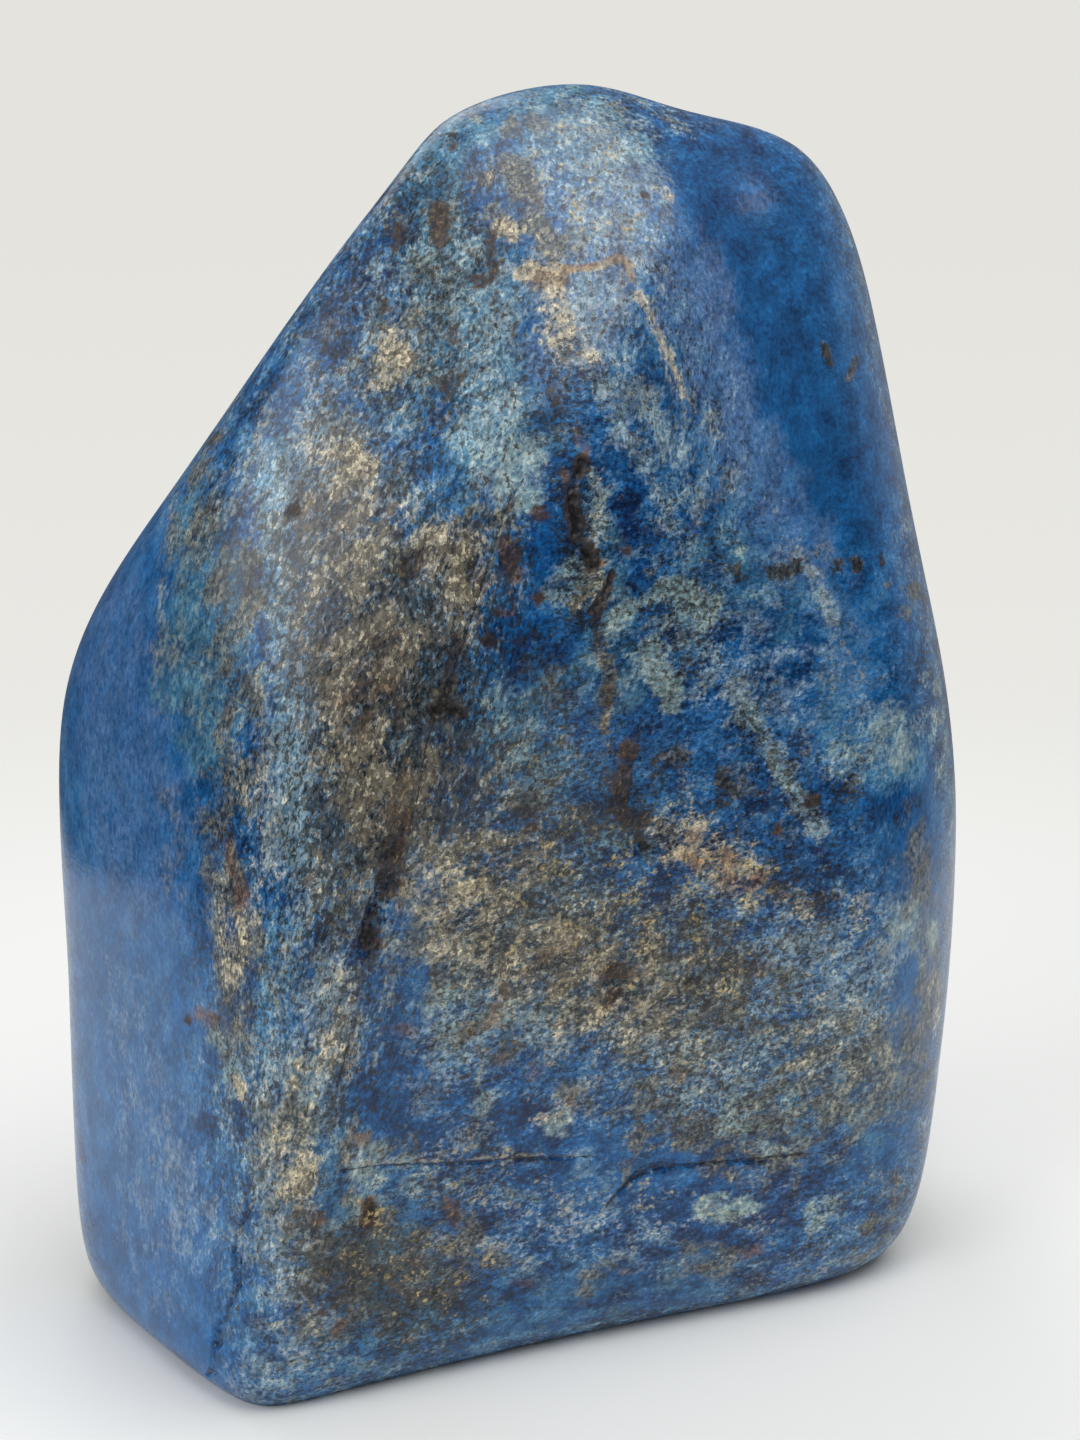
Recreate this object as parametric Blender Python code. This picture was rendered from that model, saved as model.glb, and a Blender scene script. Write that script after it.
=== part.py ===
# A polished lapis lazuli freeform: one piece of rock, sawn flat underneath so that it stands, with its
# other sides ground to soft facets and polished. It stands 150 mm tall.
#
# The stone is one closed surface. Ten meridians run up it from the sawn base to the crown, and each is
# known at seven levels. A short crest line closes the crown, and a line of points closes the flat base.
# All of these are places on the finished stone. The subdivision cage behind them is worked out by
# moving it until the smooth surface passes through them.
#
# Metres, +Z up. The wide polished front faces -Y. The origin is on the ground, under the middle of the
# stone's bounding box.

import bpy
from mathutils import Vector

HEIGHT = 0.150
MM_DRAWN = 153.0
SMOOTHING_LEVELS = 3
SETTLING_ROUNDS = 12
BASE_CREASE = 1.0

# Where each meridian passes the seven levels: base, foot, low, belly, waist, shoulder and crown, as
# (x, y, z) in millimetres on a stone that is drawn 153 mm tall.
MERIDIANS = {
    "left_ridge": [
        (-46.5, -14.5, 0), (-48, -15.8, 3), (-48.6, -15.5, 14), (-47.5, -14, 45),
        (-46, -13.5, 76), (-39.5, -9, 106), (-20.5, -5, 134),
    ],
    "front_ridge": [
        (-34, -18, 0), (-34.5, -20.5, 3), (-34.5, -23, 14), (-33, -25.5, 45),
        (-27, -26.5, 78), (-15, -25, 105), (1, -14, 134),
    ],
    "front_middle": [
        (2, -17.5, 0), (3, -20.5, 3), (4, -23, 14), (6, -24, 45),
        (8, -23.5, 76), (11, -21.5, 103), (20, -10, 135),
    ],
    "front_right": [
        (35, -17.8, 0), (38, -20.5, 3), (42.5, -22, 14), (43, -21.5, 45),
        (42, -20, 76), (39, -15.5, 102), (36, -6, 133),
    ],
    "right_end": [
        (45, -6, 0), (48.5, -6, 3), (54.2, -3, 14), (61.8, 0.5, 40),
        (60, 1, 72), (54, 3, 99), (48, 5, 129),
    ],
    "right_back": [
        (37, 13, 0), (43, 14, 3), (53, 15, 14), (58, 17, 42),
        (56, 17, 72), (50, 16, 99), (42.5, 13, 130),
    ],
    "back_right": [
        (22, 26, 0), (25, 28, 3), (28, 29.5, 14), (30, 31, 45),
        (29, 29.5, 76), (27, 25, 103), (25, 17, 135),
    ],
    "back_middle": [
        (-12, 29, 0), (-12, 31, 3), (-11, 32.5, 14), (-10, 34, 45),
        (-8, 32, 76), (0, 27, 105), (8, 17, 138),
    ],
    "back_left": [
        (-49, 26, 0), (-50.7, 27.5, 3), (-51.3, 29, 14), (-49, 31, 45),
        (-45, 29.5, 77), (-31, 23, 107), (-10, 14, 138),
    ],
    "left_side": [
        (-52.8, 7, 0), (-54.5, 7, 3), (-55.5, 9, 14), (-55.6, 14, 45),
        (-55.6, 15, 80), (-44, 7, 107), (-24, 3, 135),
    ],
}
# The crest of the crown and the middle line of the base, from left to right.
CREST = [(-11.5, 4, 148.4), (5.5, 5, 153), (22, 6, 149.8), (37.5, 5, 145.5)]
BASE_MIDDLE = [(-30, 8, 0), (-8, 8, 0), (12, 8, 0), (26, 5, 0)]

# Lazurite blue, as polished stone
LAPIS_BLUE = (0.06, 0.16, 0.42, 1.0)
LAPIS_ROUGHNESS = 0.3


def clear_scene():
    for obj in list(bpy.data.objects):
        bpy.data.objects.remove(obj, do_unlink=True)


def closing_faces(ring, middle, upwards):
    """The eight quads that close a ten-point ring with four points along its middle."""
    left, right = ring[9], ring[4]
    front, back = ring[0:4], [ring[8], ring[7], ring[6], ring[5]]
    faces = [(left, front[0], middle[0], back[0]), (front[3], right, back[3], middle[3])]
    for i in range(3):
        faces.append((front[i], front[i + 1], middle[i + 1], middle[i]))
        faces.append((middle[i], middle[i + 1], back[i + 1], back[i]))
    return faces if upwards else [tuple(reversed(face)) for face in faces]


def stone_cage():
    """The cage's points and faces, before they are settled."""
    tracks = list(MERIDIANS.values())
    around, levels = len(tracks), len(tracks[0])
    points = [track[level] for level in range(levels) for track in tracks]
    faces = []
    for level in range(levels - 1):
        for i in range(around):
            j = (i + 1) % around
            low, high = level * around, (level + 1) * around
            faces.append((low + i, low + j, high + j, high + i))
    crest = [len(points) + i for i in range(len(CREST))]
    points += CREST
    base = [len(points) + i for i in range(len(BASE_MIDDLE))]
    points += BASE_MIDDLE
    top_ring = [(levels - 1) * around + i for i in range(around)]
    faces += closing_faces(top_ring, crest, upwards=True)
    faces += closing_faces(list(range(around)), base, upwards=False)
    scale = HEIGHT / MM_DRAWN
    return [Vector(p) * scale for p in points], faces, around


def smooth_points(stone):
    """The points of the stone's smooth surface. The cage's own points come first."""
    bpy.context.view_layer.update()
    evaluated = stone.evaluated_get(bpy.context.evaluated_depsgraph_get())
    return [v.co.copy() for v in evaluated.data.vertices]


def polished_material():
    material = bpy.data.materials.new("lapis_lazuli")
    material.use_nodes = True
    shader = material.node_tree.nodes["Principled BSDF"]
    shader.inputs["Base Color"].default_value = LAPIS_BLUE
    shader.inputs["Roughness"].default_value = LAPIS_ROUGHNESS
    shader.inputs["Metallic"].default_value = 0.0
    return material


def freeform_stone():
    targets, faces, around = stone_cage()
    mesh = bpy.data.meshes.new("lapis_stone")
    mesh.from_pydata(targets, [], faces)
    crease = mesh.attributes.new("crease_edge", "FLOAT", "EDGE")
    for edge in mesh.edges:
        if edge.vertices[0] < around and edge.vertices[1] < around:
            crease.data[edge.index].value = BASE_CREASE
    stone = bpy.data.objects.new("lapis_stone", mesh)
    bpy.context.scene.collection.objects.link(stone)
    smoothing = stone.modifiers.new("smoothing", "SUBSURF")
    smoothing.levels = SMOOTHING_LEVELS
    smoothing.render_levels = SMOOTHING_LEVELS
    for _ in range(SETTLING_ROUNDS):
        reached = smooth_points(stone)
        for vertex, target in zip(mesh.vertices, targets):
            vertex.co += target - reached[vertex.index]
        mesh.update()
    stand_on_origin(stone)
    mesh.shade_smooth()
    mesh.materials.append(polished_material())
    return stone


def stand_on_origin(stone):
    """Moves the mesh so that the origin is under the middle of the smooth stone, at its base."""
    points = smooth_points(stone)
    lowest = Vector(min(p[axis] for p in points) for axis in range(3))
    highest = Vector(max(p[axis] for p in points) for axis in range(3))
    foot = Vector(((lowest.x + highest.x) / 2, (lowest.y + highest.y) / 2, lowest.z))
    for vertex in stone.data.vertices:
        vertex.co -= foot
    stone.data.update()


clear_scene()
freeform_stone()
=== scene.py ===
import math

import bmesh
import bpy
import numpy as np
from mathutils import Matrix, Vector, noise
from mathutils.bvhtree import BVHTree


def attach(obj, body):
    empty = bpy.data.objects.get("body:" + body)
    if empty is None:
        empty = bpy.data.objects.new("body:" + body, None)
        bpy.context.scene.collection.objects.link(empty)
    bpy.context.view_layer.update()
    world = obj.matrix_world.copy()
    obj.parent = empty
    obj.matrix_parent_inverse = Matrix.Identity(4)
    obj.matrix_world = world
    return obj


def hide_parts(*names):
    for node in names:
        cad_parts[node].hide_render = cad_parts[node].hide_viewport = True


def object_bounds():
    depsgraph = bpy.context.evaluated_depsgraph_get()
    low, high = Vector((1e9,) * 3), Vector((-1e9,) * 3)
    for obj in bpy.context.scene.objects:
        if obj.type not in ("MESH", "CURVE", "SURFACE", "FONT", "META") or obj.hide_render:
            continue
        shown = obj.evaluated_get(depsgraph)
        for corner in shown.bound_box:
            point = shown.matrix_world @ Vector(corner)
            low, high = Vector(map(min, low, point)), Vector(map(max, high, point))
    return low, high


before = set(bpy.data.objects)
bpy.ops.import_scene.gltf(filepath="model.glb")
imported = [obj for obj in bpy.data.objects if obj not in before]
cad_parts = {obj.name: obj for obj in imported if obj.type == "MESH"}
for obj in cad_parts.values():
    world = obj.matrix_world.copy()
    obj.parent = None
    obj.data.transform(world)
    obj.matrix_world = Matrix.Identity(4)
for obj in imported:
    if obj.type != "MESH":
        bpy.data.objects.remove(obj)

solid_low, solid_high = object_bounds()

# The viewpoint.
# The stone is looked at from a little to its left and from above, close enough for some perspective.
# The same figures turn a place in the picture, in pixels, into a place on the stone.

PICTURE = (1080, 1440)
VIEW_AZIMUTH = math.radians(-24.0)
VIEW_ELEVATION = math.radians(15.0)
VIEW_DISTANCE = 0.2886
VIEW_CENTRE = Vector((-0.0036, -0.0039, 0.0746))
LONG_SIDE_ANGLE = math.radians(34.0)
SENSOR = 36.0

towards_camera = Vector((
    math.sin(VIEW_AZIMUTH) * math.cos(VIEW_ELEVATION),
    -math.cos(VIEW_AZIMUTH) * math.cos(VIEW_ELEVATION),
    math.sin(VIEW_ELEVATION),
))
eye = VIEW_CENTRE + towards_camera * VIEW_DISTANCE
camera_turn = (-towards_camera).to_track_quat("-Z", "Y")

lens = bpy.data.cameras.new("photo_camera")
lens.sensor_width = SENSOR
lens.lens = SENSOR / 2 / math.tan(LONG_SIDE_ANGLE / 2)
camera = bpy.data.objects.new("photo_camera", lens)
camera.location = eye
camera.rotation_mode = "QUATERNION"
camera.rotation_quaternion = camera_turn
bpy.context.scene.collection.objects.link(camera)
bpy.context.scene.camera = camera


def sight_line(pixel):
    """The direction in which the camera sees a pixel of the picture."""
    focal = PICTURE[1] / 2 / math.tan(LONG_SIDE_ANGLE / 2)
    across = pixel[0] - PICTURE[0] / 2
    down = pixel[1] - PICTURE[1] / 2
    return (camera_turn @ Vector((across, -down, -focal))).normalized()


# The stone's surface.
# One natural block, sawn flat below and polished elsewhere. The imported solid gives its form. Here its
# triangles are joined back to squares and rounded off, which leaves the polished skin without facets.

MM = 0.001
MERGE = 1e-6
MOST_BEND_IN_A_SQUARE = 0.7
MOST_SKEW_OF_A_SQUARE = 0.9
SKIN_LEVELS = 2
EASED_BASE_EDGE = 0.85
BASE_FLATNESS = 0.02 * MM


def rounded_copy(node):
    """A finer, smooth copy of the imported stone, as a mesh."""
    work = bmesh.new()
    work.from_mesh(node.data)
    bmesh.ops.remove_doubles(work, verts=work.verts, dist=MERGE)
    bmesh.ops.join_triangles(
        work, faces=work.faces, angle_face_threshold=MOST_BEND_IN_A_SQUARE,
        angle_shape_threshold=MOST_SKEW_OF_A_SQUARE)
    crease = work.edges.layers.float.new("crease_edge")
    for edge in work.edges:
        on_base = all(v.co.z < BASE_FLATNESS for v in edge.verts)
        under = [all(v.co.z < BASE_FLATNESS for v in face.verts) for face in edge.link_faces]
        if on_base and any(under) and not all(under):
            edge[crease] = EASED_BASE_EDGE
    mesh = bpy.data.meshes.new("stone_blank")
    work.to_mesh(mesh)
    work.free()
    blank = bpy.data.objects.new("stone_blank", mesh)
    bpy.context.scene.collection.objects.link(blank)
    rounding = blank.modifiers.new("rounding", "SUBSURF")
    rounding.levels = SKIN_LEVELS
    rounding.render_levels = SKIN_LEVELS
    graph = bpy.context.evaluated_depsgraph_get()
    fine = bpy.data.meshes.new_from_object(blank.evaluated_get(graph))
    bpy.data.objects.remove(blank)
    return fine


skin = rounded_copy(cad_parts["lapis_stone"])
skin_shape = bmesh.new()
skin_shape.from_mesh(skin)
skin_tree = BVHTree.FromBMesh(skin_shape)
skin_shape.free()


def seen_at(pixel):
    """The place on the stone that the picture shows at a pixel, and the way out of the stone there."""
    sight = sight_line(pixel)
    place, outward, _, _ = skin_tree.ray_cast(eye, sight)
    if place is None:
        place, outward, _, _ = skin_tree.find_nearest(eye + sight * VIEW_DISTANCE)
    return place, outward


# The minerals on the front and on the left face, with a painted highlight on the crown and a painted
# shade on the left face.
# Each mark is an amount from 0 to 1, a reach in millimetres, and the pixels that it runs through. Where
# a mineral's amount is small it shows as scattered grains, and where it is large it is solid.

DEEP_BLUE = {
    "right shoulder": (0.6, 13, (760, 200), (790, 330), (820, 450)),
    "right rim": (0.15, 6, (880, 420), (905, 520)),
    "crown, right": (0.6, 5, (740, 150), (760, 190)),
    "beside the channel": (0.95, 3, (606, 430), (632, 520)),
    "below the pale islands": (0.8, 6, (640, 710), (700, 745), (770, 650)),
    "below the channel": (0.95, 4.5, (530, 640), (560, 690), (610, 700)),
    "left face, upper": (0.25, 11, (110, 660), (130, 800)),
    "left face, rim": (0.3, 4, (110, 570), (72, 740)),
    "low band": (0.8, 6, (370, 1105), (470, 1120), (560, 1140)),
    "low band, right": (0.7, 5, (640, 1195), (740, 1185), (830, 1165)),
    "upper facet": (0.45, 4, (385, 310), (410, 250)),
    "upper facet, low": (0.4, 4, (430, 430), (350, 520)),
    "right flank": (0.8, 2.6, (830, 800), (905, 800)),
    "right flank, low": (0.55, 5, (850, 850), (760, 800)),
    "middle": (0.5, 4, (660, 880), (750, 920)),
    "toe": (0.5, 5, (440, 1290), (560, 1260), (640, 1240)),
    "foot": (0.7, 7, (480, 1240), (620, 1290), (760, 1240)),
    # A painted shade: a dark band just above the edge of the pale floor's reflection on the left face.
    "left face, painted shade at the reflection's edge": (0.5, 2.2, (110, 885), (125, 905), (185, 910)),
    "left of the channel": (0.8, 3, (552, 470), (556, 540), (560, 560)),
    "under the ridge patches": (0.8, 3, (520, 620), (500, 690)),
    "by the round island": (0.8, 1.6, (645, 560), (620, 588)),
    "between the islands": (0.8, 1.3, (648, 622), (650, 632), (690, 632)),
    "right of the islands": (0.2, 2.6, (735, 580), (790, 600)),
    "under the islands": (0.8, 3, (640, 715), (690, 745)),
    "left of the stain": (0.8, 3, (570, 660), (585, 700)),
    "foot shade": (0.8, 6, (360, 1240), (420, 1290)),
    "beside the third band": (0.3, 2.4, (720, 690), (735, 640)),
}
AZURE = {
    "upper facet knot": (0.9, 1.8, (442, 300)),
    "upper facet pool": (0.85, 2.4, (500, 330), (478, 350)),
    "upper facet, left": (0.5, 2.5, (415, 215), (455, 235)),
    "left ridge line": (0.95, 1.3, (256, 470), (262, 560), (264, 660)),
    "left of the channel": (0.8, 2.2, (548, 470), (545, 560)),
    "over the islands": (0.7, 2.6, (630, 560), (700, 520)),
    "under the ridge": (0.9, 3.4, (540, 650), (550, 670)),
    "centre right": (0.35, 8, (760, 600), (720, 700)),
    "right flank": (0.6, 3, (830, 775), (900, 800)),
    "crown streak": (0.5, 2, (545, 130), (552, 170)),
    "dark spot on the left face": (0.6, 1.8, (238, 600)),
    "middle pools": (0.6, 2.2, (520, 745), (470, 760)),
    "centre pool": (0.55, 2.5, (640, 890), (655, 905)),
    "between the islands": (0.8, 1.2, (648, 625), (645, 632)),
    "left of the stain": (0.8, 2.6, (580, 690), (560, 700)),
    "right of the second band": (0.8, 1.6, (640, 480), (655, 505)),
    "low spot": (0.85, 1.5, (520, 1066), (521, 1074)),
}
TEAL = {
    "crown": (0.6, 7, (560, 110), (600, 130)),
    "crown, left": (0.65, 4.5, (425, 160), (450, 130)),
    "upper facet": (0.7, 5, (465, 270), (480, 380), (500, 440)),
    "left face smudge": (0.75, 3.6, (222, 590), (215, 680), (200, 745)),
    "ridge foot": (0.3, 6, (300, 1100), (320, 1200)),
    "right of the islands": (0.4, 5, (720, 560), (780, 600)),
    "under the ridge": (0.4, 5, (500, 700), (530, 780)),
    "lower right": (0.35, 9, (800, 1080), (880, 1100)),
    "foot": (0.3, 8, (400, 1330), (700, 1290)),
    "foot shade": (0.6, 6, (360, 1240), (410, 1290)),
    "upper facet, left": (0.5, 4, (430, 160), (440, 300), (400, 400)),
    "centre": (0.4, 8, (500, 920), (640, 980)),
    "channel sides": (0.4, 4, (600, 560), (620, 690), (560, 680)),
    "left face smudge, upper": (0.6, 4, (192, 520), (195, 580), (170, 680)),
}
LAVENDER = {
    "leaning facet": (0.75, 6, (690, 300), (735, 430)),
    "leaning facet, top": (0.5, 6, (650, 240), (700, 270)),
    "crown": (0.5, 6, (590, 210), (600, 300)),
    "right of centre": (0.4, 6, (760, 470), (800, 540)),
    "by the ridge top": (0.6, 3, (530, 400), (540, 360)),
    "left ridge": (0.4, 3, (270, 700), (262, 850)),
    "left face, low": (0.3, 9, (140, 1050), (170, 1200)),
    "left face, up": (0.5, 12, (110, 660), (130, 840)),
    "facet, dull patch": (0.5, 3, (430, 600), (455, 628)),
    "right of centre, wide": (0.35, 9, (750, 560), (820, 640), (810, 720)),
}
FROST_AND_HIGHLIGHT = {
    # The crown's two whitish marks are partly calcite and partly a painted highlight where the overhead
    # lamp's reflection lies.
    "crown": (0.36, 5, (610, 130), (625, 190), (615, 240)),
    "crown, wide": (0.2, 9, (570, 140), (600, 280)),
    "under the seam": (0.41, 4, (590, 300), (605, 360)),
    "first slanted band": (0.56, 1.5, (600, 380), (628, 440), (662, 500)),
    "second slanted band": (0.56, 1.5, (640, 390), (672, 450), (697, 500)),
    "third slanted band": (0.3, 1.4, (700, 400), (735, 480)),
    "broken band": (0.8, 1.3, (738, 690), (785, 775), (820, 830)),
    "upper facet": (0.52, 4, (490, 400), (505, 470)),
    "ridge strip": (0.38, 2.5, (330, 960), (345, 1020)),
    "ridge strip, low": (0.38, 2.2, (290, 960), (285, 1080)),
    "right flank": (0.45, 5, (815, 950), (850, 1010), (900, 930)),
    "low streaks": (0.3, 5, (440, 1060), (480, 1150)),
    "low patches": (0.41, 2.5, (585, 1115), (560, 1105)),
    "toe, left": (0.38, 4, (250, 1380), (300, 1350)),
    "left face, fleck": (0.52, 0.9, (162, 590), (158, 620)),
    "left face, mottle": (0.22, 6, (180, 1170), (190, 1230)),
    "below the islands": (0.3, 5, (700, 650), (740, 690)),
    "centre": (0.3, 6, (480, 1000), (540, 1010)),
    "foot streaks": (0.22, 6, (560, 1220), (640, 1240)),
    "crown rim": (0.25, 3, (660, 110), (690, 125)),
    "centre, wide": (0.35, 9, (470, 900), (620, 980), (700, 1040)),
    "facet": (0.62, 9, (330, 480), (350, 650), (340, 850)),
    "facet, right": (0.5, 5, (420, 590), (440, 650), (400, 580)),
    "flank, wide": (0.35, 5, (870, 740), (910, 730)),
    "ridge strip, foot": (0.5, 4, (280, 1090), (280, 1200), (290, 1280)),
    "facet, top": (0.5, 6, (400, 330), (440, 260), (470, 330)),
    "toe strip": (0.6, 3, (330, 1000), (320, 1120)),
    "right of centre": (0.4, 7, (700, 930), (760, 960)),
    "lower right": (0.35, 8, (760, 1060), (860, 1080)),
    "left face, low": (0.25, 10, (120, 1000), (140, 1150), (150, 1250)),
    "facet streaks": (0.4, 3, (380, 620), (400, 700), (410, 780)),
    "facet, left": (0.45, 4, (300, 690), (310, 760), (318, 850)),
    "facet, lower": (0.55, 4, (340, 700), (350, 800), (420, 700)),
    "facet, dull patch": (0.4, 2.4, (430, 600), (455, 628)),
    "right seam": (0.6, 1.1, (800, 552), (812, 574), (824, 595), (836, 630)),
    "right of centre, upper": (0.3, 5, (760, 620), (800, 680)),
}
PALE = {
    "round island": (0.85, 1.9, (626, 614)),
    "long island": (0.78, 2, (668, 592), (705, 612)),
    "lower island": (0.85, 1.7, (652, 645), (672, 695)),
    "island haze": (0.1, 6, (650, 620), (700, 660)),
    "left of the channel foot": (0.64, 2.2, (560, 585), (590, 575)),
    "channel side": (0.64, 1.4, (597, 478), (603, 505), (598, 525)),
    "dot": (0.77, 0.9, (741, 551)),
    "right flank": (0.55, 2.6, (890, 715), (905, 750)),
    "right flank, tail": (0.4, 2.4, (848, 755), (870, 745)),
    "right margin": (0.42, 3, (940, 700), (942, 760)),
    "right edge, mid": (0.47, 3, (905, 920), (930, 950)),
    "mottle under the ridge": (0.34, 4, (500, 720), (520, 780)),
    "low patches": (0.64, 2, (705, 1212), (745, 1208)),
    "low patch, right": (0.59, 2.2, (835, 1205), (815, 1215)),
    "low patch, middle": (0.55, 1.8, (548, 1120), (556, 1130)),
    "centre": (0.4, 5, (490, 960), (470, 1000)),
    "brown block, below": (0.42, 2, (600, 845), (650, 850)),
    "left face, cyan pool": (0.42, 2.4, (220, 1050), (228, 1080)),
    "upper facet, right": (0.4, 4, (500, 440), (515, 480)),
    "broken band": (0.5, 0.9, (743, 700), (758, 728)),
    "broken band, middle": (0.5, 0.9, (770, 758), (788, 788)),
    "broken band, foot": (0.45, 0.9, (804, 802), (822, 832)),
    "channel rim": (0.5, 0.6, (592, 470), (594, 500), (596, 520)),
    "low band, left": (0.32, 4, (350, 1152), (400, 1186), (350, 1196)),
    "low streak": (0.4, 1.2, (486, 1100), (480, 1140)),
    "low streak, upper": (0.4, 0.9, (484, 1064), (474, 1096)),
    "foot, wide": (0.18, 5, (520, 1190), (590, 1185), (640, 1225)),
    "right of the vein": (0.3, 4, (700, 1110), (760, 1130)),
    "centre, upper": (0.35, 3, (530, 890), (580, 885)),
    "centre, right": (0.35, 4, (650, 990), (680, 1030)),
    "low middle": (0.3, 3.4, (470, 1040), (540, 1024)),
    "teal flecks": (0.12, 5, (620, 540), (700, 560), (600, 690)),
}
CYAN = {
    "left ridge, upper": (0.95, 1.6, (272, 450), (276, 560), (280, 640)),
    "left ridge, middle": (0.9, 1.7, (284, 700), (292, 780), (296, 860)),
    "left ridge, low": (0.5, 2.6, (285, 920), (275, 1000), (255, 1050)),
    "upper facet": (0.28, 4, (455, 330), (510, 310)),
    "upper facet, foot": (0.35, 2, (425, 500), (405, 520)),
    "left face, streak": (0.32, 1.6, (186, 640), (180, 700)),
    "pale line on the rim": (0.35, 2, (240, 430), (250, 470)),
    "low ridge": (0.35, 2.4, (240, 1130), (245, 1200)),
    "right flank": (0.28, 4, (860, 770), (910, 760)),
    "centre": (0.32, 3, (540, 880), (580, 890)),
    "toe": (0.28, 3, (240, 1340), (260, 1300)),
    "flank": (0.4, 5, (850, 740), (910, 760)),
    "facet pools": (0.5, 3, (455, 480), (470, 440), (450, 510)),
    "centre right": (0.25, 6, (780, 620), (830, 680)),
}
GREY = {
    "left face, upper smudge": (0.46, 4.8, (190, 520), (192, 570)),
    "left face, middle smudge": (0.4, 4, (172, 640), (166, 690)),
    "left face, ridge smudge": (0.42, 4.4, (232, 700), (228, 800)),
    "left face, rim": (0.5, 2.4, (212, 445), (200, 470)),
    "left face, edge line": (0.36, 2.2, (167, 800), (172, 900)),
    "ridge side": (0.5, 3, (240, 560), (232, 640)),
    "tan column": (0.62, 3.8, (215, 850), (240, 960), (225, 1030)),
    "low ridge": (0.35, 3.2, (285, 1080), (285, 1180), (300, 1240)),
    "facet dusk": (0.2, 6, (400, 690), (360, 760), (440, 560)),
    "ridge band": (0.35, 3, (480, 520), (470, 590)),
    "centre": (0.5, 9, (470, 910), (560, 960), (680, 1000)),
    "right of centre": (0.4, 6, (720, 960), (760, 1000)),
    "lower right": (0.6, 8, (820, 1090), (900, 1060), (760, 1130)),
    "right margin": (0.6, 4, (920, 850), (935, 1000)),
    "right flank smudge": (0.3, 2, (735, 790), (725, 770)),
    "foot shade": (0.65, 6, (360, 1240), (410, 1290), (340, 1300)),
    "foot speckle": (0.5, 4, (450, 1230), (480, 1270)),
    "slanting vein": (0.85, 0.8, (652, 1080), (642, 1120), (624, 1185)),
    "foot, middle": (0.5, 2.4, (585, 1290), (600, 1270)),
    "foot, right": (0.5, 3, (690, 1260), (720, 1270)),
    "right foot edge": (0.5, 3, (870, 1240), (890, 1200)),
    "shoulder spots": (0.75, 0.9, (825, 348), (832, 366)),
    "crown streak": (0.9, 1.6, (512, 160), (530, 205), (552, 250)),
    "crown": (0.4, 3, (525, 130), (500, 120)),
    "upper facet": (0.2, 6, (330, 420), (390, 380)),
    "low brown cloud": (0.75, 2.4, (668, 1125), (690, 1130)),
    "low band, left": (0.5, 3, (350, 1150), (400, 1150)),
    "middle dusk": (0.5, 3, (520, 820), (590, 830)),
    "facet": (0.1, 8, (330, 500), (360, 640), (380, 780)),
    "middle": (0.3, 5, (480, 750), (540, 800)),
    "right rim streak": (0.6, 1, (905, 615), (928, 585)),
    "right line, first": (0.8, 0.9, (770, 570), (783, 572)),
    "right line, second": (0.7, 1, (797, 567)),
    "right line, third": (0.65, 1, (838, 566)),
    "right line, fourth": (0.7, 1, (858, 564)),
    "right line, fifth": (0.6, 1, (882, 560)),
    "right line, sixth": (0.6, 0.8, (888, 586)),
    "right line, seventh": (0.6, 0.8, (737, 566), (742, 582)),
    "right line, haze": (0.3, 1.2, (805, 555), (830, 549)),
    "dusk right of the block": (0.4, 1.4, (722, 775), (724, 800)),
    "dusk over the tan wash": (0.3, 1.2, (735, 757), (752, 752)),
    "dusk by the block": (0.4, 1.6, (655, 770), (680, 760)),
    "flank dusk": (0.3, 1.6, (838, 796), (862, 792)),
    "flank dusk, lower": (0.3, 1.6, (900, 820), (915, 800)),
    "shoulder spots, right": (0.6, 0.8, (856, 358), (848, 376)),
    "facet blobs": (0.35, 2.6, (432, 200), (425, 260), (400, 320)),
    "low patch": (0.4, 1.6, (560, 1094), (588, 1108)),
    "under the ridge": (0.3, 3, (540, 660), (560, 700)),
    "vein under the channel": (0.65, 0.9, (602, 625), (608, 660), (610, 700), (604, 730)),
}
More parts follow.
